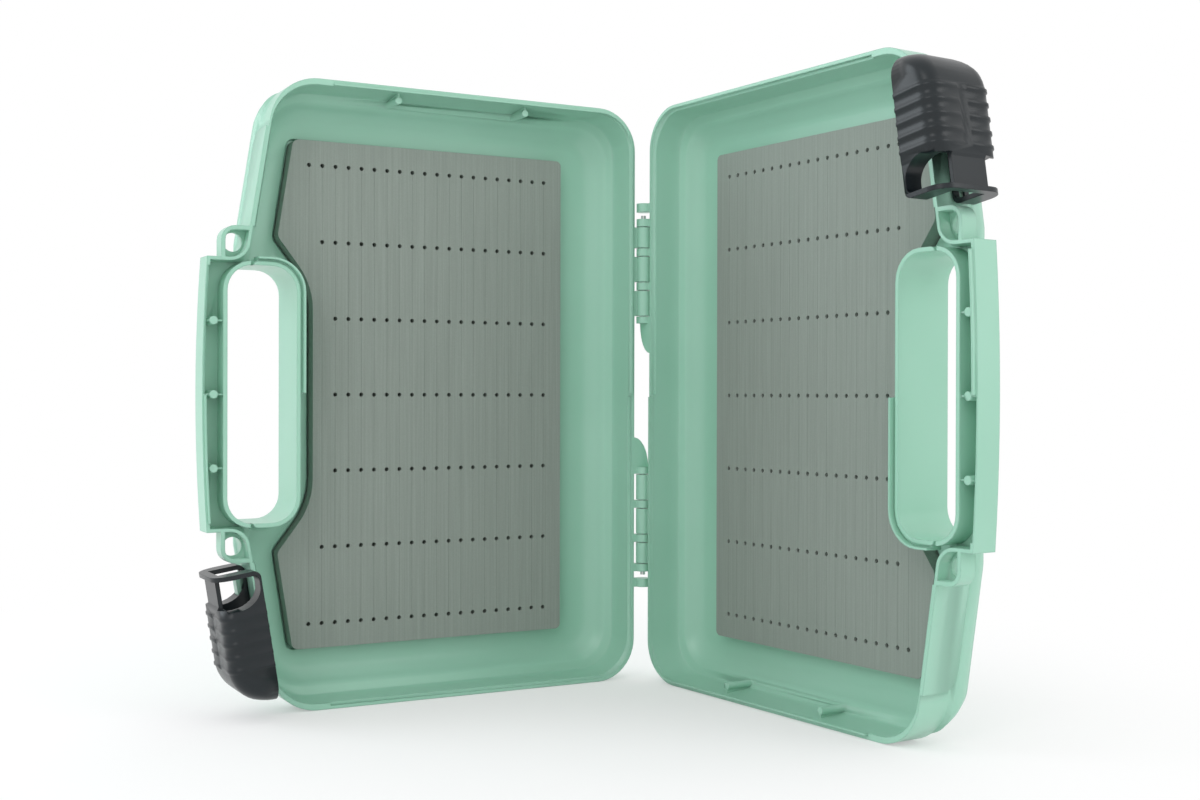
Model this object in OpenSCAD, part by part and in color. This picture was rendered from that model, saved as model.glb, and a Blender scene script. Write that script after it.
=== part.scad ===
// Fly box: a book-style case of two equal moulded halves that stand open on
// their ends, hinged along one long side, with a carrying grip and a sliding
// latch on each half and a slit foam pad in each half.

/* [Case halves] */
// Length of a half along the hinge
case_len = 339; // [300:1:380]
// Distance from the hinge axis to the outer face beside the grip hole
body_w = 238; // [230:1:250]
// Depth of one half, rim plane to back face
case_d = 34; // [32:0.5:40]
// Wall and floor thickness of a half
wall = 2.8; // [2.2:0.1:3.4]
// Gap from the hinge axis to the outer face of the hinge-side wall
axis_gap = 6; // [5.6:0.1:8]
// Depth of the straight rim band before the body steps in
band_d = 20.5; // [18:0.5:22]
// Outer corner radius at the hinge side
hinge_corner_r = 24; // [18:1:30]
// Outer corner radius at the grip side
grip_corner_r = 27; // [20:1:32]
// Lean of the latch sides, away from the hinge-parallel direction
side_lean = 9.1; // [7:0.1:10]
// Clear gap between the two rims when the case is shut
rim_gap = 0.4; // [0.2:0.1:0.8]
// Height of the locating tongue that stands out of the rim
tongue_h = 2; // [1:0.1:2.5]
// Thickness of the locating tongue
tongue_t = 1.1; // [0.8:0.1:1.3]
// Included angle between the halves as they stand
open_angle = 95; // [80:1:120]

/* [Grip] */
// Length of the grip hole
hole_len = 136; // [110:1:140]
// Width of the grip hole
hole_w = 37; // [30:0.5:40]
// How far the grip hole reaches into the body
hole_inset = 25; // [22:0.5:27]
// Corner radius of the grip hole
hole_r = 13.5; // [8:0.5:16]
// Depth of the grip part of one half
grip_d = 15; // [13:0.5:18]
// Width of the hand channel between grip hole and outer grip wall
grip_channel = 6.6; // [5.6:0.2:8]
// How far the outer grip wall bows out at mid length
grip_bow = 2.5; // [0:0.5:4]
// Diameter of the round bosses in the grip channel
boss_d = 4.4; // [3:0.2:5]
// Spacing of the grip bosses
boss_pitch = 38.5; // [30:0.5:45]

/* [Lock ears] */
// Diameter of the round hole in a lock ear
eye_d = 10; // [7:0.5:11]
// Depth of a lock ear, from the rim plane
ear_d = 10; // [8:0.5:11]
// How far a lock ear stands out from the latch track
ear_reach = 12.4; // [12:0.2:13.6]
// Length of a lock ear along the latch side, above the grip end
ear_len = 16.6; // [15:0.2:17.4]

/* [Latches] */
// Overall length of a latch
latch_len = 70; // [66:1:76]
// Height of a latch above its track
latch_h = 23; // [22.5:0.5:25]
// Half of the width of a latch, each side of the rim plane
latch_half_w = 21; // [20:0.5:23]
// Travel of a latch from open to locked
latch_travel = 16.6; // [12:0.2:17]
// Length of the window beside the end plate
window_len = 16.5; // [12:0.5:17]
// Thickness of the end plate
plate_t = 2.4; // [2:0.1:3]
// How far the end plate stands out past the latch back
plate_lip = 1.2; // [1:0.2:4]
// Number of grip ribs on a latch
rib_count = 5; // [3:1:6]
// Pitch of the grip ribs
rib_pitch = 6.8; // [5:0.1:8]
// How far the grip ribs stand proud
rib_h = 0.5; // [0.3:0.1:1.4]
// Running clearance between a latch and its rail
slide_gap = 0.35; // [0.25:0.05:0.5]
// Height of the latch rail above its track
rail_h = 5.6; // [5:0.1:6.5]
// Length of the latch rail
rail_len = 42; // [30:1:44]

/* [Foam pads] */
// Thickness of a foam pad
foam_t = 10.5; // [8:0.5:11]
// Margin from the hinge-side face of a half to its foam
foam_margin = 39.5; // [34:0.5:50]
// Margin from the end face of a half to its foam
foam_end = 30; // [28:0.5:40]
// Margin from the grip hole's wall to the foam
foam_grip_gap = 13; // [11:0.1:20]
// Width of the flat floor strip between the case side and a foam pad's bed
floor_strip = 5.1; // [2.1:0.5:8.1]
// Gap between a foam pad and the edge of its bed
foam_gap = 1.2; // [0.8:0.1:3]

/* [Hinges] */
// Diameter of a hinge barrel
barrel_d = 8.4; // [7.6:0.2:9]
// Diameter of a hinge pin
pin_d = 3; // [2.4:0.1:3.6]
// Radial running clearance of a hinge pin
pin_gap = 0.05; // [0.03:0.01:0.1]
// Distance from mid length to the near end of a hinge barrel row
hinge_start = 47.5; // [40:0.5:60]
// Gap between neighbouring hinge barrels
barrel_gap = 0.4; // [0.3:0.1:0.8]
// Length of a long hinge barrel
long_barrel = 15; // [12:0.5:17]
// Length of a short hinge barrel
short_barrel = 4.6; // [4:0.2:6]

/* [Hidden] */

// overlap that joins solids which would only touch
e = 0.01;
half_len = case_len / 2;
rim_z = rim_gap / 2;
lean_tan = tan(side_lean);
lean_cos = cos(side_lean);
lean_sin = sin(side_lean);
mint = [0.6, 0.81, 0.73];

hinge_y = -band_d / 2;

// latch track: a raised pad on the leaning side, between notch and ear
pad_rise = 1.5;
pad_d = band_d + 1.9;
grip_end = hole_len / 2 + wall + 1;
ear_top = grip_end + ear_len;
notch_v = half_len - 27.8;
side_u0 = body_w + 12.9;
hole_u = body_w - hole_inset;
hole_wall = 2.2;

// the standing face is centred on the origin, which places the hinge axis
hinge_x = (axis_gap + side_u0 - half_len * lean_tan) / 2;

// depth of the foam's bed and of the floor round it, and how far in that
// floor starts at the latch sides
floor_z = case_d - wall - 0.2;
bed_z = floor_z - 2.6;
floor_side = wall + 10.2;

// where a face of the pad lies at height v, and how it is offset
function pad_u(v) = side_u0 + pad_rise / lean_cos - v * lean_tan;

// a fillet of radius r at corner b, between the directions to a and c
function unit(p) = p / norm(p);
function fillet(a, b, c, r, n) =
    let (p = unit(a - b), q = unit(c - b), half = acos(p * q) / 2,
        run = r / tan(half), centre = b + unit(p + q) * r / sin(half),
        from = b + p * run - centre, side = sign(p[0] * q[1] - p[1] * q[0]),
        sweep = (180 - 2 * half) * side)
    [for (i = [0:n]) let (t = -sweep * i / n)
        centre + [from[0] * cos(t) - from[1] * sin(t), from[0] * sin(t) + from[1] * cos(t)]];

// outline of a half, drawn in by m at the ends and hinge side, by h at the
// leaning sides and by g beside the grip, with corner radii ra and rb
function outline(m, h, g, ra, rb) =
    let (x0 = axis_gap + m, y0 = half_len - m, x1 = body_w - g,
        xs = side_u0 - h / lean_cos, xb = xs - y0 * lean_tan, yc = (xs - x1) / lean_tan,
        v = [[x0, -y0], [xb, -y0], [x1, -yc], [x1, yc], [xb, y0], [x0, y0]],
        r = [ra, rb, 12, 12, rb, ra], n = [12, 12, 2, 2, 12, 12])
    [for (i = [0:5]) each fillet(v[(i + 5) % 6], v[i], v[(i + 1) % 6], r[i], n[i])];

// a solid through a stack of rings [z, points], lowest first
module loft(rings) {
    n = len(rings[0][1]);
    k = len(rings);
    polyhedron(
        points = [for (r = rings) for (p = r[1]) [p[0], p[1], r[0]]],
        faces = concat(
            [[for (i = [0:n - 1]) i]],
            [for (j = [0:k - 2]) for (i = [0:n - 1]) let (a = j * n + i, b = j * n + (i + 1) % n)
                each [[a, a + n, b + n], [a, b + n, b]]],
            [[for (i = [n - 1:-1:0]) (k - 1) * n + i]]));
}

// [depth, end inset, side inset, grip inset] down the outside of a half
step_z = band_d;
outer_profile = [
    [rim_z, 0, 0, 0],
    [step_z - 1.2, 0, 0, 0],
    [step_z, 1.1, 0, 0],
    [step_z + 1.5, 4.2, 0.5 - pad_rise, 0.5 - pad_rise],
    [step_z + 2.4, 5.2, 0.4 - pad_rise, 0.4 - pad_rise],
    [step_z + 3.5, 6.2, -pad_rise - 0.3, -pad_rise - 0.3],
    [case_d - 6.5, 9, -pad_rise - 0.4, -pad_rise - 0.4],
    [case_d - 3, 12.6, 0.4 - pad_rise, 0.4 - pad_rise],
    [case_d - 0.9, 16.8, 1, 1],
    [case_d, 20.6, 4, 4]];

// and down the inside, where the latch sides have a thin edge at the rim
inner_profile = [
    [-4, wall + 0.4, 1, 0.4],
    [1.4, wall + 0.5, 1, 0.4],
    [3.2, wall + 0.6, 2.2, 0.8],
    [12, wall + 1.2, 2.5, 2.8],
    [step_z - 3, wall + 1.7, 2.8, 3],
    [step_z - 1.9, wall + 2.2, 2.8, 3],
    [step_z - 1.2, wall + 3.6, 2.9, 3.1],
    [step_z - 0.8, wall + 6, 2.9, 3.1],
    [step_z, wall + 7.2, 3, 3.2],
    [step_z + 2.4, wall + 8.8, 3.4, 3.4],
    [step_z + 4.8, wall + 10.8, 4.4, 4],
    [bed_z - 2, wall + 13, 5.8, 5],
    [bed_z - 0.9, wall + 14.6, 8.2, 6.4],
    [bed_z - 0.3, wall + 16.8, 10.8, 7.8],
    [bed_z, wall + 19.6, floor_side, 9]];

// rings of a profile; the grip-side corners get body_r below the step
body_corner_r = grip_corner_r * 0.65;
function rings(profile, body_r) = [for (p = profile)
    let (near_r = max(hinge_corner_r - p[1] * 0.55, 6), far_r = max(grip_corner_r - p[2] * 0.9, 8))
    [p[0], outline(p[1], p[2], p[3], near_r, p[0] > step_z ? min(far_r, body_r) : far_r)]];

// a rectangle from x0 to x1 and -y to y with rounded corners on its low-x
// side (ra) and high-x side (rb)
function slab_outline(x0, x1, y, ra, rb, n) =
    let (near_r = min(ra, x1 - x0 - rb - 0.5),
        v = [[x0, -y], [x1, -y], [x1, y], [x0, y]], r = [near_r, rb, rb, near_r])
    [for (i = [0:3]) each fillet(v[(i + 3) % 4], v[i], v[(i + 1) % 4], r[i], n)];

hole_far = hole_u + hole_w;
grip_wall = 1.8;
grip_u = hole_far + hole_wall + grip_channel + grip_wall;
arc_r = 9.5;

// wall round the grip hole inside the case, flared at the floor; t is its
// thickness
function hole_ring(t) = slab_outline(hole_u - t, body_w - 1.5, hole_len / 2 + t, hole_r + t, 3, 6);

module grip_swell() {
    loft([
        [rim_z, hole_ring(hole_wall)],
        [bed_z - 7, hole_ring(hole_wall + 0.7)],
        [bed_z - 3.5, hole_ring(hole_wall + 1.4)],
        [bed_z - 1.2, hole_ring(hole_wall + 3)],
        [bed_z + e, hole_ring(hole_wall + 5.5)]]);
}

// outside outline of the grip; corner_r rounds the corners where the ears sit
function grip_outline(inset, corner_r) =
    let (corner = [grip_u - inset, grip_end - inset], r = corner_r + inset, n = 8,
        c = [pad_u(grip_end + corner_r) + corner_r, grip_end + corner_r],
        side = concat(
            [[body_w - 35, ear_top], [pad_u(ear_top) - inset, ear_top]],
            [for (i = [0:n]) c - r * [cos(90 * i / n), sin(90 * i / n)]],
            [corner],
            [for (i = [1:5]) let (t = 1 - i / 5) [corner[0] + grip_bow * (1 - t * t), corner[1] * t]]))
    concat(side, [for (i = [len(side) - 2:-1:0]) [side[i][0], -side[i][1]]]);

module grip_body() {
    translate([0, 0, rim_z]) linear_extrude(ear_d - rim_z) polygon(grip_outline(0, arc_r));
    translate([0, 0, rim_z]) linear_extrude(grip_d - rim_z) polygon(grip_outline(0, 1));
}

// outline of the grip hole grown by g
function hole_outline(g) =
    slab_outline(hole_u - g, hole_far + g, hole_len / 2 + g, hole_r + g, hole_r + g, 8);

module hole_prism(g, z0, z1) {
    translate([0, 0, z0]) linear_extrude(z1 - z0) polygon(hole_outline(g));
}

// hollow of the grip, open at the rim, leaving the wall of the grip hole
module grip_hollow() {
    difference() {
        intersection() {
            union() {
                translate([0, 0, -1]) linear_extrude(grip_d - wall + 1) polygon(grip_outline(grip_wall, 1));
                translate([0, 0, -1]) linear_extrude(ear_d - ear_floor + 1)
                    polygon(grip_outline(grip_wall, arc_r));
            }
            translate([body_w - 9, -half_len, -2]) cube([60, case_len, grip_d + 2]);
        }
        hole_prism(hole_wall, -2, grip_d + 1);
    }
}

// band of a given width round the grip hole, at its near side and for one end
module tunnel_band(from, to, v0) {
    intersection() {
        difference() {
            polygon(hole_outline(to));
            polygon(hole_outline(from));
        }
        translate([hole_u - 20, v0]) square([body_w - 4 - hole_u + 20, half_len]);
    }
}

lip_w = 4.6;
lip_z = 1.6;
ridge_in = 3.4;

// sunk lip with a locating ridge on one end of the grip hole's near wall
module tunnel_lip() {
    translate([0, 0, lip_z]) linear_extrude(6) tunnel_band(hole_wall - 0.5, lip_w, 0.6);
    translate([0, 0, -tongue_h]) linear_extrude(tongue_h + lip_z + e)
        tunnel_band(ridge_in, ridge_in + tongue_t, 0.8);
}

// locating ridge on the outer grip wall, and the groove that takes it
module grip_ridge(side, slack) {
    t0 = grip_wall - 0.8 - slack;
    intersection() {
        difference() {
            polygon(grip_outline(t0, 1));
            polygon(grip_outline(grip_wall + slack, 1));
        }
        translate([body_w + 5, side > 0 ? 0.3 : -grip_end + grip_wall + 3])
            square([60, grip_end - grip_wall - 3.3]);
    }
}

// bosses with cross webs in the grip channel
module grip_bosses() {
    for (k = [-1:1]) {
        y = k * boss_pitch;
        bow = grip_bow * (1 - pow(y / grip_end, 2));
        translate([hole_far + hole_wall + grip_channel * 0.75, y, rim_z])
            cylinder(d = boss_d, h = grip_d - 2, $fn = 40);
        translate([hole_far + hole_wall - 1, y - 0.5, rim_z + 1])
            cube([grip_channel + bow + 2, 1, grip_d - 3]);
    }
}

// a frame on the leaning side at height v: x out of the side, y towards the
// end wall, z depth
module on_side(v) {
    translate([side_u0 - v * lean_tan, v, 0]) rotate([0, 0, side_lean]) children();
}

// raised pad that the latch slides on
module track_pad() {
    len_pad = (notch_v - grip_end) / lean_cos;
    r = 9;
    on_side(notch_v) rotate([0, 90, 0]) translate([0, 0, -2]) linear_extrude(pad_rise + 2)
        polygon(concat(
            [[-rim_z, -len_pad], [-pad_d, -len_pad]],
            [for (i = [0:6]) [-pad_d + r, -r] + r * [-cos(15 * i), sin(15 * i)]],
            [[-rim_z, 0]]));
}

// lock ear: a cup with a round eye in its floor, beside the grip end
module ear() {
    base = pad_u(ear_top);
    outer = pad_u(grip_end) + ear_reach;
    r = 7.5;
    cup = 2.2;
    difference() {
        translate([0, 0, rim_z]) linear_extrude(ear_d - rim_z) polygon(concat(
            [[base - 2, grip_end - 1], [outer, grip_end - 1]],
            [for (i = [0:6]) [outer - r, ear_top - r] + r * [cos(15 * i), sin(15 * i)]],
            [[base - 2, ear_top]]));
        translate([0, 0, -1]) linear_extrude(ear_d - ear_floor + 1) difference() {
            polygon(concat(
                [[base - 2, grip_end - 2], [outer - cup, grip_end - 2]],
                [for (i = [0:6]) [outer - r, ear_top - r] + (r - cup) * [cos(15 * i), sin(15 * i)]],
                [[base - 2, ear_top - cup]]));
            polygon(grip_outline(0, arc_r));
        }
        translate([eye_u, eye_v, -1]) cylinder(d = eye_d, h = ear_d + 2, $fn = 64);
    }
}

ear_floor = 2.4;
eye_v = grip_end + ear_len * 0.5;
eye_u = pad_u(eye_v) + 6;

// T-shaped rail that holds the latch of this half
rail_w = 3;
rail_head_w = 7;
rail_head_t = 2.3;
rail_z = 15.8;
rail_start = 7;
latch_start_v = ear_top + 1.4;

// a frame on the track at height v: x out of the track, y away from the grip,
// z depth
module on_track(v) {
    translate([pad_u(v), -v, 0]) rotate([0, 0, -side_lean]) mirror([0, 1, 0]) children();
}

module latch_rail() {
    on_track(latch_start_v) translate([0, rail_start, 0]) {
        translate([-1.5, 0, rail_z - rail_w / 2]) cube([rail_h + 1.5 - e, rail_len, rail_w]);
        translate([rail_h - rail_head_t, 0, rail_z - rail_head_w / 2])
            cube([rail_head_t, rail_len, rail_head_w]);
    }
}

// tongue that stands out of the rim over one end of the half
module tongue_ring() {
    t0 = wall + 0.4 - tongue_t;
    translate([0, 0, -tongue_h]) linear_extrude(tongue_h + rim_z + e) intersection() {
        difference() {
            polygon(outline(t0, t0, t0, hinge_corner_r - t0, grip_corner_r - t0));
            polygon(outline(t0 + tongue_t, t0 + tongue_t, t0 + tongue_t,
                hinge_corner_r - t0 - tongue_t, grip_corner_r - t0 - tongue_t));
        }
        translate([axis_gap - 1, 1]) square([body_w - 50, half_len]);
    }
}

// groove that takes the other half's tongue
module tongue_groove() {
    t0 = wall + 0.4 - tongue_t - 0.3;
    translate([0, 0, -1]) linear_extrude(tongue_h + rim_gap + 1) intersection() {
        difference() {
            polygon(outline(t0, t0, t0, hinge_corner_r - t0, grip_corner_r - t0));
            polygon(outline(t0 + 4, t0 + 4, t0 + 4, hinge_corner_r - t0 - 4, grip_corner_r - t0 - 4));
        }
        translate([axis_gap - 1, -half_len]) square([body_w - 49, half_len - 0.5]);
    }
}

// posts with webs on one end wall
module end_posts() {
    for (x = [body_w * 0.325, body_w * 0.65]) {
        translate([x, half_len - 7, 3]) cylinder(d = 4, h = step_z - 2, $fn = 32);
        translate([x - 0.6, half_len - 7, 3]) cube([1.2, 6, step_z - 2]);
    }
}

// hinge barrels: a row of three long ones on one end, short ones on the other
long_starts = [for (i = [0:2]) hinge_start + i * (long_barrel + short_barrel + 2 * barrel_gap)];
short_starts = [for (i = [0:1]) hinge_start + long_barrel + barrel_gap
    + i * (long_barrel + short_barrel + 2 * barrel_gap)];
last_long = 12.2;
end_start = long_starts[2] + last_long + barrel_gap;
bay_len = 4.2;
block_len = 5.1;
gusset_len = 22;
near_barrel = 4;
pin_start = hinge_start - barrel_gap - near_barrel + 1;
pin_len = end_start + short_barrel + bay_len * 0.5 - pin_start;

module barrel(v0, len) {
    translate([0, v0, 0]) rotate([-90, 0, 0]) cylinder(d = barrel_d, h = len, $fn = 48);
    translate([0, v0, rim_z]) cube([axis_gap + 1, len, barrel_d / 2 - rim_z]);
}

module barrels() {
    difference() {
        union() {
            barrel(long_starts[0], long_barrel);
            barrel(long_starts[1], long_barrel);
            barrel(long_starts[2], last_long);
            mirror([0, 1, 0]) {
                for (v = short_starts) barrel(v, short_barrel);
                barrel(end_start, short_barrel);
                barrel(end_start + short_barrel + bay_len, block_len);
                barrel(hinge_start - barrel_gap - near_barrel, near_barrel);
                hinge_gusset();
            }
        }
        for (s = [0, 1]) mirror([0, s, 0]) translate([0, pin_start - 0.3, 0]) rotate([-90, 0, 0])
            cylinder(d = pin_d + 2 * pin_gap, h = pin_len + 0.6, $fn = 48);
    }
}

// curved web beside the hinge row
module hinge_gusset() {
    top = hinge_start - barrel_gap - near_barrel;
    translate([0, 0, rim_z]) linear_extrude(barrel_d / 2 - rim_z) polygon(concat(
        [[axis_gap + 1, top], [-barrel_d / 2 + 0.4, top]],
        [for (i = [1:6]) [axis_gap + 0.5 - (axis_gap + barrel_d / 2) * cos(15 * i),
            top - (gusset_len - 4) * sin(15 * i)]],
        [[axis_gap + 1, top - gusset_len + 4]]));
}

module half_shell() {
    difference() {
        union() {
            grip_swell();
            difference() {
                union() {
                    loft(rings(outer_profile, body_corner_r));
                    grip_body();
                    for (s = [0, 1]) mirror([0, s, 0]) {
                        track_pad();
                        ear();
                    }
                }
                grip_hollow();
                loft(rings(inner_profile, grip_corner_r));
                translate([0, 0, bed_z - 1]) linear_extrude(floor_z - bed_z + 1)
                    polygon(foam_outline(foam_gap));
            }
            latch_rail();
            grip_bosses();
            end_posts();
            tongue_ring();
            tunnel_lip();
            translate([0, 0, -tongue_h]) linear_extrude(tongue_h + rim_z + e) grip_ridge(-1, 0);
            barrels();
        }
        hole_prism(0, -5, case_d + 5);
        tongue_groove();
        translate([0, 0, -1]) linear_extrude(tongue_h + rim_gap + 1) grip_ridge(1, 0.35);
    }
}

// foam pad: one slab in a shallow bed, notched round the grip hole
function foam_side(v) = side_u0 - (floor_side + floor_strip + foam_gap) / lean_cos - v * lean_tan;
foam_half = half_len - foam_end;
foam_near = axis_gap + foam_margin;
foam_far = hole_u - hole_wall - foam_grip_gap;
notch_out = ear_top - 2.4;
notch_in = grip_end - 11.8;

// outline of the pad, grown by g
function foam_outline(g) =
    let (x0 = foam_near - g, y = foam_half + g, x1 = foam_far + g,
        end_x = foam_side(foam_half) + g, notch_x = foam_side(notch_out) + g,
        out = notch_out - g * 0.5, in = notch_in - g * 0.5,
        v = [[x0, -y], [end_x, -y], [notch_x, -out], [x1, -in], [x1, in], [notch_x, out], [end_x, y], [x0, y]],
        r = [3, 4, 5, 40, 40, 5, 4, 3], n = [3, 3, 3, 8, 8, 3, 3, 3])
    [for (i = [0:7]) each fillet(v[(i + 7) % 8], v[i], v[(i + 1) % 8], r[i], n[i])];

module foam_pad() {
    translate([0, 0, floor_z - foam_t]) linear_extrude(foam_t) polygon(foam_outline(0));
}

// latch, in a frame with x out of the track, y away from the grip, z depth
latch_gap = 0.4;
slot_half = ear_d + 0.5;
nose_r = latch_h - 1.2;
flank_nose_r = 12;
edge_r = 8;
band_w = 6;
notch_h = 1;
neck_half_w = 11;
heel_r = 4;
rib_w = 2.8;
rib0 = plate_t + window_len + 1.8;
neck_end = rib0 - 3.2;

// height and half width of the latch body at b along it
function body_h(b) = let (d = b - (latch_len - nose_r))
    d <= 0 ? latch_h : latch_h - nose_r + sqrt(max(nose_r * nose_r - d * d, 0));
function body_half_w(b) = let (d = b - (latch_len - flank_nose_r))
    d <= 0 ? latch_half_w : latch_half_w - flank_nose_r + sqrt(max(flank_nose_r * flank_nose_r - d * d, 0));

// section of the latch body: h high, w half wide, ribs standing up by rib
function latch_section(h, w, rib) =
    let (r = min(edge_r, h - latch_gap - 0.1), top = h + rib, side = w + rib, m = band_w / 2)
    concat([[latch_gap, -side]],
        [for (i = [0:6]) [top - r, r - side] + r * [sin(15 * i), -cos(15 * i)]],
        [[top, -m - 0.4], [h, -m + 0.4], [h, m - 0.4], [top, m + 0.4]],
        [for (i = [0:6]) [top - r, side - r] + r * [cos(15 * i), sin(15 * i)]],
        [[latch_gap, side]]);

// [b, height, half width, rib] along the latch
latch_rings = concat(
    [[plate_t - 0.5, latch_h - notch_h, latch_half_w - 0.3, 0],
        [neck_end - 1.4, latch_h - notch_h, latch_half_w - 0.3, 0],
        [neck_end, latch_h, latch_half_w, 0]],
    [for (i = [0:rib_count - 1]) for (p = [[0, 0], [0.7, rib_h], [rib_w - 0.7, rib_h], [rib_w, 0]])
        let (b = rib0 + i * rib_pitch + p[0]) [b, body_h(b), body_half_w(b), p[1]]],
    [for (i = [0:11]) let (last = rib0 + (rib_count - 1) * rib_pitch + rib_w + 1,
            b = last + (latch_len - last) * sin(90 * i / 11)) [b, body_h(b), body_half_w(b), 0]]);

module latch_body() {
    rotate([-90, 0, 0]) loft([for (q = latch_rings) [q[0], latch_section(q[1], q[2], q[3])]]);
}

module end_plate() {
    w = latch_half_w;
    far = latch_h + plate_lip;
    r = 10;
    translate([0, plate_t, 0]) rotate([90, 0, 0]) linear_extrude(plate_t) polygon(concat(
        [[latch_gap, -w]],
        [for (i = [0:6]) [far - r, -w + r] + r * [sin(15 * i), -cos(15 * i)]],
        [for (i = [0:6]) [far - r, w - r] + r * [cos(15 * i), sin(15 * i)]],
        [[latch_gap, w]]));
}

// window through both sides of the latch: square beside the plate, arched
// towards the track
module window_cut() {
    far = slot_far;
    near = latch_gap + 1.2;
    r = 3;
    translate([0, 0, -latch_half_w - 1]) linear_extrude(2 * latch_half_w + 2) polygon(concat(
        [for (i = [0:4]) [near + r, plate_t + r] + r * [-cos(22.5 * i), -sin(22.5 * i)]],
        [[far, plate_t], [far, plate_t + window_len]],
        [for (i = [0:8]) [near + (far - near - 5) * (1 - sin(90 * i / 8)),
            plate_t + 6 + (window_len - 6) * cos(90 * i / 8)]]));
}

wall_out = 2.2;
slot_far = latch_h - notch_h - wall_out;

// the neck beside the plate is narrower at its outer edge than the plate
module neck_cut() {
    for (s = [0, 1]) mirror([0, 0, s]) translate([slot_far - 3, plate_t, neck_half_w])
        cube([latch_h, neck_end - plate_t, latch_half_w]);
}

// rounds the heel of the latch, where plate and flank meet at the track
module heel_cut() {
    translate([0, 0, -latch_half_w - 1]) linear_extrude(2 * latch_half_w + 2) difference() {
        translate([latch_gap - 1, -1]) square(heel_r + 1);
        translate([latch_gap + heel_r, heel_r]) circle(r = heel_r, $fn = 48);
    }
}

module rail_way() {
    run = latch_travel + rail_start + rail_len + 1;
    translate([-1, plate_t, rail_z - rail_w / 2 - slide_gap])
        cube([rail_h + 1 + slide_gap, run, rail_w + 2 * slide_gap]);
    translate([rail_h - rail_head_t - slide_gap, plate_t, rail_z - rail_head_w / 2 - slide_gap])
        cube([rail_head_t + 2 * slide_gap, run, rail_head_w + 2 * slide_gap]);
}

module latch() {
    difference() {
        union() {
            latch_body();
            end_plate();
        }
        // way for the two ears, and the hollow behind it
        translate([-1, -1, -slot_half]) cube([slot_far + 1, plate_t + window_len, 2 * slot_half]);
        translate([-1, plate_t + 2, -slot_half]) cube([slot_far + 1, latch_len - nose_r, 2 * slot_half]);
        rail_way();
        window_cut();
        neck_cut();
        heel_cut();
    }
}

module latch_on_half() {
    on_track(latch_start_v) latch();
}

module hinge_pin() {
    translate([0, pin_start, 0]) rotate([-90, 0, 0]) cylinder(d = pin_d, h = pin_len, $fn = 48);
}

module place_left() {
    translate([hinge_x, hinge_y, half_len]) rotate([90, 0, 180]) children();
}

module place_right() {
    translate([hinge_x, hinge_y, half_len]) rotate([0, 0, open_angle - 180]) rotate([-90, 0, 0]) children();
}

module left_shell() { color(mint) place_left() half_shell(); }
module right_shell() { color(mint) place_right() half_shell(); }
module left_foam() { color([0.5, 0.54, 0.5]) place_left() foam_pad(); }
module right_foam() { color([0.5, 0.54, 0.5]) place_right() foam_pad(); }
module left_latch() { color([0.22, 0.25, 0.27]) place_left() latch_on_half(); }
module right_latch() { color([0.22, 0.25, 0.27]) place_right() latch_on_half(); }
module upper_hinge_pin() { color("silver") place_left() hinge_pin(); }
module lower_hinge_pin() { color("silver") place_left() mirror([0, 1, 0]) hinge_pin(); }

left_shell();
right_shell();
left_foam();
right_foam();
left_latch();
right_latch();
upper_hinge_pin();
lower_hinge_pin();
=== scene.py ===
import bpy
import bmesh
from math import sin, cos, tan, radians, pi
from mathutils import Vector, Matrix


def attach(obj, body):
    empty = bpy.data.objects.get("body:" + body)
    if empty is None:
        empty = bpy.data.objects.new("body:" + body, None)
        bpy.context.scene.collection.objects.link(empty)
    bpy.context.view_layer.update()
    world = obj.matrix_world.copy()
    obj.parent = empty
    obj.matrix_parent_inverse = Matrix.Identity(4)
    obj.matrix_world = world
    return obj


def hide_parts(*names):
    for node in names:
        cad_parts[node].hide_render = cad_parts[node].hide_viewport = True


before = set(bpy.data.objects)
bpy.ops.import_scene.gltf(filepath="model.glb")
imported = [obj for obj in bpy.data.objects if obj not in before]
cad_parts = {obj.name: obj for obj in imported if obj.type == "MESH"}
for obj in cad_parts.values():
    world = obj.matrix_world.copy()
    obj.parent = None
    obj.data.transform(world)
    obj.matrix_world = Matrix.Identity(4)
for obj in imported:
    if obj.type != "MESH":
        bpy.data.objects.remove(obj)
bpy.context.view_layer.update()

# ---------------------------------------------------------------- sizes, mm
CASE_LEN = 339.0
BODY_W = 238.0
SIDE_PAST_BODY = 12.9
SIDE_U0 = BODY_W + SIDE_PAST_BODY
AXIS_GAP = 6.0
BAND_D = 20.5
LEAN = radians(9.1)
OPEN = radians(95.0)
HINGE_X = (AXIS_GAP + SIDE_U0 - CASE_LEN / 2 * tan(LEAN)) / 2
HINGE = Vector((HINGE_X, -BAND_D / 2, CASE_LEN / 2))

# foam pad: its depths in the shell, its reach from the hinge and along it
FOAM_TOP = 20.5
FOAM_FLOOR = 31.0
FOAM_LIFT = 0.15
FOAM_NEAR = 45.5
FOAM_FAR = 197.8
FOAM_HALF = 139.5
FOAM_SIDE_INSET = 19.546

# where the pad's notch round the grip hole starts and ends, from mid length
NOTCH_OUT = 86.0
NOTCH_IN = 60.0

# corner radii of the pad: in the notch, where it starts, beside the grip and
# beside the hinge
NOTCH_IN_R = 40.0
NOTCH_OUT_R = 5.0
GRIP_CORNER_R = 4.0
HINGE_CORNER_R = 3.0

# rows of hook holes: distance from mid length, and how many
HOLE_ROWS = [(0, 18), (42, 18), (84, 19), (126, 20)]
HOLE_PITCH = 7.545
FIRST_HOLE = 56.8
HOLE_R = 1.2
HOLE_DEEP = 5.2
PEG_LEN = 8.0
PEG_SIDES = 12
SLIT_W = 0.07
SLIT_DEEP = 0.6

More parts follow.
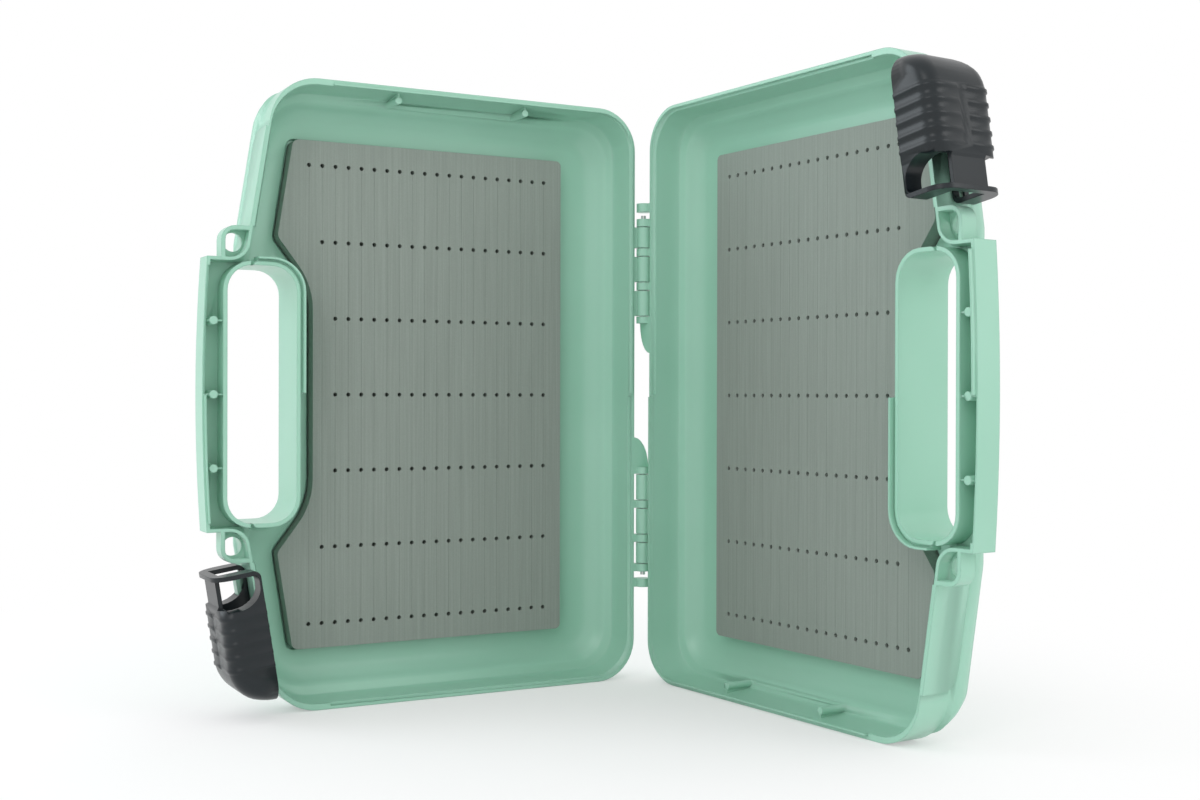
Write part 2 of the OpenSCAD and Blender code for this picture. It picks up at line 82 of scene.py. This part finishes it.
# a moulding is drawn in its own frame: x away from the hinge, y along it,
# z into the shell; these two place it as the left and the right half, in metres
MM = Matrix.Diagonal((0.001, 0.001, 0.001, 1.0))
TO_HINGE = MM @ Matrix.Translation(HINGE)
LEFT = TO_HINGE @ Matrix.Rotation(pi, 4, 'Z') @ Matrix.Rotation(pi / 2, 4, 'X')
RIGHT = TO_HINGE @ Matrix.Rotation(OPEN - pi, 4, 'Z') @ Matrix.Rotation(-pi / 2, 4, 'X')
HALVES = (("left", LEFT), ("right", RIGHT))


# ---------------------------------------------------------------- camera
# the camera that fits the photograph, in metres and turned in degrees
SENSOR_W = 36.0
PHOTO_W_PX = 1200.0
FOCAL_PX = 1486.2
CAMERA_PLACE = (-0.33318, -0.78293, 0.16978)
CAMERA_HEADING = radians(28.4456)
CAMERA_PITCH = radians(-0.2056)
CAMERA_ROLL = radians(0.1277)


def place_camera():
    data = bpy.data.cameras.new("camera")
    data.sensor_width = SENSOR_W
    data.lens = SENSOR_W * FOCAL_PX / PHOTO_W_PX
    camera = bpy.data.objects.new("camera", data)
    bpy.context.scene.collection.objects.link(camera)
    camera.location = CAMERA_PLACE
    turn = Matrix.Rotation(-CAMERA_HEADING, 4, 'Z') @ Matrix.Rotation(pi / 2 + CAMERA_PITCH, 4, 'X')
    turn = turn @ Matrix.Rotation(CAMERA_ROLL, 4, 'Z')
    camera.rotation_euler = turn.to_euler()
    bpy.context.scene.camera = camera


place_camera()


# ---------------------------------------------------------------- materials
# how often each pattern repeats, per metre
MINT_CLOUD = 9.0
MINT_ETCH = 1900.0
MINT_WAVE = 22.0
NYLON_CLOUD = 40.0
NYLON_EGGSHELL = 2200.0
FOAM_STREAK = (950.0, 950.0, 14.0)
FOAM_CELL = 1300.0
STEEL_MARK = (2500.0, 2500.0, 60.0)

# rounding of moulded edges, m
SHELL_EDGE_R = 0.0009
LATCH_EDGE_R = 0.0006
EDGE_SAMPLES = 4


def linear(hex_colour):
    """The linear colour, with alpha, of an sRGB hex value."""
    channels = [int(hex_colour[i:i + 2], 16) / 255.0 for i in (1, 3, 5)]
    return [c / 12.92 if c <= 0.04045 else ((c + 0.055) / 1.055) ** 2.4 for c in channels] + [1.0]


def new_material(name):
    material = bpy.data.materials.new(name)
    material.use_nodes = True
    tree = material.node_tree
    tree.nodes.clear()
    return material, tree


def add(tree, kind, settings=None, **sockets):
    """A node with its settings and inputs; an input is named, or numbered as i0, i1 and so on."""
    node = tree.nodes.new(kind)
    for key, value in (settings or {}).items():
        setattr(node, key, value)
    for key, value in sockets.items():
        numbered = key[0] == "i" and key[1:].isdigit()
        socket = node.inputs[int(key[1:]) if numbered else key.replace("_", " ")]
        if isinstance(value, bpy.types.NodeSocket):
            tree.links.new(value, socket)
        else:
            socket.default_value = value
    return node


def colour_ramp(tree, factor, stops):
    ramp = add(tree, "ShaderNodeValToRGB", i0=factor)
    elements = ramp.color_ramp.elements
    while len(elements) < len(stops):
        elements.new(0.5)
    for element, (position, colour) in zip(elements, stops):
        element.position = position
        element.color = linear(colour)
    return ramp


# Polypropylene, injection moulded in a satin-etched tool: even pastel mint,
# broad soft sheen, a very fine etched grain of about 0.5 mm and slight
# waviness from cooling.
def moulded_polypropylene():
    material, tree = new_material("polypropylene_mint_satin")
    spot = add(tree, "ShaderNodeTexCoord").outputs["Object"]
    cloud = add(tree, "ShaderNodeTexNoise", Vector=spot, Scale=MINT_CLOUD, Detail=2.0, Roughness=0.5)
    tint = colour_ramp(tree, cloud.outputs[0], [(0.35, "#99CAB4"), (0.65, "#A0CFBA")])
    grain = add(tree, "ShaderNodeTexNoise", Vector=spot, Scale=MINT_ETCH, Detail=2.0, Roughness=0.6)
    wave = add(tree, "ShaderNodeTexNoise", Vector=spot, Scale=MINT_WAVE, Detail=1.0, Roughness=0.4)
    rough = add(tree, "ShaderNodeMapRange", i0=cloud.outputs[0], i3=0.27, i4=0.33)
    edge = add(tree, "ShaderNodeBevel", {"samples": EDGE_SAMPLES}, Radius=SHELL_EDGE_R)
    fine = add(tree, "ShaderNodeBump", Strength=0.10, Distance=0.00012,
               Height=grain.outputs[0], Normal=edge.outputs[0])
    sag = add(tree, "ShaderNodeBump", Strength=0.05, Distance=0.0012,
              Height=wave.outputs[0], Normal=fine.outputs[0])
    skin = add(tree, "ShaderNodeBsdfPrincipled", Base_Color=tint.outputs[0],
               Roughness=rough.outputs[0], IOR=1.49, Normal=sag.outputs[0])
    skin.inputs["Subsurface Weight"].default_value = 0.12
    skin.inputs["Subsurface Radius"].default_value = (0.6, 1.0, 0.8)
    skin.inputs["Subsurface Scale"].default_value = 0.002
    add(tree, "ShaderNodeOutputMaterial", Surface=skin.outputs[0])
    return material


# Nylon, injection moulded with a fine eggshell texture of about 0.5 mm: near
# black with a blue cast and a soft sheen.
def moulded_nylon():
    material, tree = new_material("nylon_charcoal_eggshell")
    spot = add(tree, "ShaderNodeTexCoord").outputs["Object"]
    cloud = add(tree, "ShaderNodeTexNoise", Vector=spot, Scale=NYLON_CLOUD, Detail=3.0, Roughness=0.5)
    tint = colour_ramp(tree, cloud.outputs[0], [(0.3, "#131B1F"), (0.7, "#182024")])
    grain = add(tree, "ShaderNodeTexNoise", Vector=spot, Scale=NYLON_EGGSHELL, Detail=2.0, Roughness=0.6)
    rough = add(tree, "ShaderNodeMapRange", i0=cloud.outputs[0], i3=0.26, i4=0.34)
    edge = add(tree, "ShaderNodeBevel", {"samples": EDGE_SAMPLES}, Radius=LATCH_EDGE_R)
    fine = add(tree, "ShaderNodeBump", Strength=0.16, Distance=0.00012,
               Height=grain.outputs[0], Normal=edge.outputs[0])
    skin = add(tree, "ShaderNodeBsdfPrincipled", Base_Color=tint.outputs[0],
               Roughness=rough.outputs[0], IOR=1.44, Normal=fine.outputs[0])
    add(tree, "ShaderNodeOutputMaterial", Surface=skin.outputs[0])
    return material


# EVA foam, closed cell, sliced flat: dull grey green with faint streaks along
# the slicing direction, about 1 mm wide, and cells of a few tenths of a
# millimetre, which are drawn a little coarser so that they show.
def sliced_eva_foam():
    material, tree = new_material("eva_foam_grey_green")
    spot = add(tree, "ShaderNodeTexCoord").outputs["Object"]
    stretch = add(tree, "ShaderNodeMapping", Vector=spot, Scale=FOAM_STREAK)
    streak = add(tree, "ShaderNodeTexNoise", Vector=stretch.outputs[0], Scale=1.0, Detail=3.0, Roughness=0.6)
    cell = add(tree, "ShaderNodeTexNoise", Vector=spot, Scale=FOAM_CELL, Detail=3.0, Roughness=0.7)
    both = add(tree, "ShaderNodeMath", {"operation": "MULTIPLY_ADD"},
               i0=cell.outputs[0], i1=0.5, i2=streak.outputs[0])
    tint = colour_ramp(tree, both.outputs[0], [(0.45, "#868F88"), (0.75, "#8C958E"), (1.0, "#929B94")])
    pore = add(tree, "ShaderNodeBump", Strength=0.35, Distance=0.0002, Height=cell.outputs[0])
    skin = add(tree, "ShaderNodeBsdfPrincipled", Base_Color=tint.outputs[0], Roughness=0.82, IOR=1.45,
               Normal=pore.outputs[0])
    skin.inputs["Specular IOR Level"].default_value = 0.3
    add(tree, "ShaderNodeOutputMaterial", Surface=skin.outputs[0])
    return material


# Stainless steel wire, drawn: bright, with fine marks along its length.
def drawn_steel():
    material, tree = new_material("stainless_wire_drawn")
    spot = add(tree, "ShaderNodeTexCoord").outputs["Object"]
    stretch = add(tree, "ShaderNodeMapping", Vector=spot, Scale=STEEL_MARK)
    marks = add(tree, "ShaderNodeTexNoise", Vector=stretch.outputs[0], Scale=1.0, Detail=2.0)
    rough = add(tree, "ShaderNodeMapRange", i0=marks.outputs[0], i3=0.18, i4=0.36)
    skin = add(tree, "ShaderNodeBsdfPrincipled", Base_Color=linear("#C9CBCB"), Metallic=1.0,
               Roughness=rough.outputs[0])
    add(tree, "ShaderNodeOutputMaterial", Surface=skin.outputs[0])
    return material


MINT = moulded_polypropylene()
NYLON = moulded_nylon()
FOAM = sliced_eva_foam()
STEEL = drawn_steel()


def give(obj, material):
    obj.data.materials.clear()
    obj.data.materials.append(material)


# ---------------------------------------------------------------- tools
# welding distance in metres, and the angles in degrees up to which faces are
# joined as one flat and edges are shaded smooth
WELD = 0.00001
FLAT_ANGLE = 0.4
SHELL_SMOOTH = 28.0
FOAM_SMOOTH = 40.0
LATCH_SMOOTH = 35.0


def deselect():
    if bpy.context.mode != 'OBJECT':
        bpy.ops.object.mode_set(mode='OBJECT')
    bpy.ops.object.select_all(action='DESELECT')


def only(obj):
    deselect()
    obj.select_set(True)
    bpy.context.view_layer.objects.active = obj


def apply_modifiers(obj):
    only(obj)
    for modifier in list(obj.modifiers):
        bpy.ops.object.modifier_apply(modifier=modifier.name)


def smooth(obj, angle):
    only(obj)
    bpy.ops.object.shade_smooth_by_angle(angle=radians(angle))


def mesh_object(name, build):
    """An object of the mesh that was built, which is freed."""
    mesh = bpy.data.meshes.new(name)
    build.to_mesh(mesh)
    build.free()
    obj = bpy.data.objects.new(name, mesh)
    bpy.context.scene.collection.objects.link(obj)
    return obj


def merged_copy(node, name):
    """A copy of a moulded CAD piece with its loose triangles welded, for edge rounding."""
    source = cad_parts[node]
    obj = bpy.data.objects.new(name, source.data.copy())
    bpy.context.scene.collection.objects.link(obj)
    only(obj)
    bpy.ops.object.mode_set(mode='EDIT')
    bpy.ops.mesh.select_all(action='SELECT')
    bpy.ops.mesh.remove_doubles(threshold=WELD)
    bpy.ops.mesh.dissolve_limited(angle_limit=radians(FLAT_ANGLE))
    bpy.ops.object.mode_set(mode='OBJECT')
    return obj


# ---------------------------------------------------------------- shells
def moulded_shell(side):
    obj = merged_copy(side + "_shell", side + "_shell_moulding")
    smooth(obj, SHELL_SMOOTH)
    give(obj, MINT)
    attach(obj, side + "_half")
    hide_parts(side + "_shell")


# ---------------------------------------------------------------- foam pads
def foam_side(v):
    """How far from the hinge the pad's leaning side lies, at v from mid length."""
    return SIDE_U0 - FOAM_SIDE_INSET - v * tan(LEAN)


def foam_corners():
    upper = [(FOAM_FAR, NOTCH_IN, NOTCH_IN_R),
             (foam_side(NOTCH_OUT), NOTCH_OUT, NOTCH_OUT_R),
             (foam_side(FOAM_HALF), FOAM_HALF, GRIP_CORNER_R),
             (FOAM_NEAR, FOAM_HALF, HINGE_CORNER_R)]
    return [(x, -y, r) for x, y, r in reversed(upper)] + upper


def rounded(corners, steps=6):
    """Points of an outline whose corners (x, y, radius) are rounded."""
    points = []
    count = len(corners)
    for i, (x, y, r) in enumerate(corners):
        here = Vector((x, y))
        before = (Vector(corners[i - 1][:2]) - here).normalized()
        after = (Vector(corners[(i + 1) % count][:2]) - here).normalized()
        half = before.angle(after) / 2
        centre = here + (before + after).normalized() * (r / sin(half))
        start = here + before * (r / tan(half)) - centre
        turn = (pi - 2 * half) * (1 if before.cross(after) < 0 else -1)
        for k in range(steps + 1):
            a = turn * k / steps
            across = start.x * cos(a) - start.y * sin(a)
            along = start.x * sin(a) + start.y * cos(a)
            points.append(centre + Vector((across, along)))
    return points


def hole_cutters(name):
    """Round pegs, one for each hook hole."""
    build = bmesh.new()
    middle = FOAM_TOP + HOLE_DEEP - PEG_LEN / 2
    for v, count in HOLE_ROWS:
        for y in {v, -v}:
            for k in range(count):
                place = Matrix.Translation((FIRST_HOLE + k * HOLE_PITCH, y, middle))
                bmesh.ops.create_cone(build, cap_ends=True, segments=PEG_SIDES, radius1=HOLE_R,
                                      radius2=HOLE_R, depth=PEG_LEN, matrix=place)
    return mesh_object(name, build)


def slit_cutters(name):
    """Thin upright blades, one through each column of hook holes."""
    build = bmesh.new()
    last_row, columns = HOLE_ROWS[-1]
    size = Matrix.Diagonal((SLIT_W, 2 * last_row, 2 * SLIT_DEEP, 1.0))
    for k in range(columns):
        place = Matrix.Translation((FIRST_HOLE + k * HOLE_PITCH, 0.0, FOAM_TOP))
        bmesh.ops.create_cube(build, size=1.0, matrix=place @ size)
    return mesh_object(name, build)


def foam_pad(side, place):
    """A slab with the pad's outline, a little clear of its bed, with its holes and slits cut."""
    build = bmesh.new()
    ring = [build.verts.new((p.x, p.y, FOAM_TOP)) for p in rounded(foam_corners())]
    top = build.faces.new(ring)
    out = bmesh.ops.extrude_face_region(build, geom=[top])
    lifted = [g for g in out["geom"] if isinstance(g, bmesh.types.BMVert)]
    bmesh.ops.translate(build, verts=lifted, vec=(0, 0, FOAM_FLOOR - FOAM_LIFT - FOAM_TOP))
    bmesh.ops.recalc_face_normals(build, faces=build.faces)
    obj = mesh_object(side + "_foam_pad", build)
    tools = [hole_cutters("holes"), slit_cutters("slits")]
    for tool in tools:
        cut = obj.modifiers.new(tool.name, 'BOOLEAN')
        cut.operation = 'DIFFERENCE'
        cut.object = tool
        cut.solver = 'EXACT'
    apply_modifiers(obj)
    for tool in tools:
        bpy.data.objects.remove(tool)
    obj.data.transform(place)
    smooth(obj, FOAM_SMOOTH)
    give(obj, FOAM)
    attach(obj, side + "_half")
    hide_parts(side + "_foam")


# ---------------------------------------------------------------- latches
def moulded_latch(side):
    obj = merged_copy(side + "_latch", side + "_latch_moulding")
    smooth(obj, LATCH_SMOOTH)
    give(obj, NYLON)
    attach(obj, side + "_latch_body")
    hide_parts(side + "_latch")


for side, place in HALVES:
    moulded_shell(side)
    foam_pad(side, place)
    moulded_latch(side)
for node in ("upper_hinge_pin", "lower_hinge_pin"):
    give(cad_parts[node], STEEL)


# ---------------------------------------------------------------- studio
FLOOR_SIZE = 24.0
FLOOR_DROP = 0.0002

# the floor glows white from FADE_END outwards, and less towards its middle,
# so that the case keeps its shadow there
FADE_START = 0.2
FADE_END = 0.5
GLOW_AT_MIDDLE = 0.35

# strength of the white world as a light, and as the camera sees it
WORLD_LIGHT = 0.92
WORLD_SEEN = 1.0

WHITE = (1.0, 1.0, 1.0)
SKY_BLUE = (0.86, 0.94, 1.0)
CASE_MIDDLE = (0.0, -0.1, 0.17)
LEFT_HALF_MIDDLE = (-0.1, -0.1, 0.17)

# name, watts, width, colour, place and what it points at
LAMPS = (("key_left", 5.0, 0.9, WHITE, (-1.4, -1.2, 1.3), CASE_MIDDLE),
         ("fill_right", 5.0, 1.0, WHITE, (1.0, -1.6, 1.0), CASE_MIDDLE),
         ("back_left", 11.0, 1.2, SKY_BLUE, (-1.5, 0.9, 1.1), LEFT_HALF_MIDDLE))


def paper_floor():
    deselect()
    bpy.ops.mesh.primitive_plane_add(size=FLOOR_SIZE, location=(0.0, 0.0, -FLOOR_DROP))
    floor = bpy.context.active_object
    floor.name = "floor"
    material, tree = new_material("paper_white_matt")
    path = add(tree, "ShaderNodeLightPath")
    seen = add(tree, "ShaderNodeMath", {"operation": "MAXIMUM"}, i0=path.outputs["Is Camera Ray"],
               i1=path.outputs["Is Glossy Ray"])
    spot = add(tree, "ShaderNodeTexCoord").outputs["Object"]
    reach = add(tree, "ShaderNodeVectorMath", {"operation": "LENGTH"}, i0=spot)
    fade = add(tree, "ShaderNodeMapRange", {"interpolation_type": 'SMOOTHSTEP'}, i0=reach.outputs["Value"],
               i1=FADE_START, i2=FADE_END, i3=GLOW_AT_MIDDLE, i4=1.0)
    white = add(tree, "ShaderNodeMath", {"operation": "MULTIPLY"}, i0=fade.outputs[0], i1=seen.outputs[0])
    paper = add(tree, "ShaderNodeBsdfDiffuse", Color=linear("#F6F6F6"))
    glow = add(tree, "ShaderNodeEmission", Color=WHITE + (1.0,), Strength=1.0)
    both = add(tree, "ShaderNodeMixShader", i0=white.outputs[0], i1=paper.outputs[0], i2=glow.outputs[0])
    add(tree, "ShaderNodeOutputMaterial", Surface=both.outputs[0])
    floor.data.materials.append(material)


def white_world():
    world = bpy.data.worlds.new("studio")
    world.use_nodes = True
    bpy.context.scene.world = world
    tree = world.node_tree
    tree.nodes.clear()
    path = add(tree, "ShaderNodeLightPath")
    seen = add(tree, "ShaderNodeMath", {"operation": "MAXIMUM"}, i0=path.outputs["Is Camera Ray"],
               i1=path.outputs["Is Transmission Ray"])
    level = add(tree, "ShaderNodeMapRange", i0=seen.outputs[0], i3=WORLD_LIGHT, i4=WORLD_SEEN)
    glow = add(tree, "ShaderNodeBackground", Color=WHITE + (1.0,), Strength=level.outputs[0])
    add(tree, "ShaderNodeOutputWorld", Surface=glow.outputs[0])


def lamp(name, watts, width, colour, place, target):
    data = bpy.data.lights.new(name, 'AREA')
    data.energy = watts
    data.size = width
    data.color = colour
    obj = bpy.data.objects.new(name, data)
    bpy.context.scene.collection.objects.link(obj)
    obj.location = place
    obj.rotation_euler = (Vector(target) - Vector(place)).to_track_quat('-Z', 'Y').to_euler()


paper_floor()
white_world()
for settings in LAMPS:
    lamp(*settings)

bpy.context.scene.view_settings.view_transform = 'Standard'
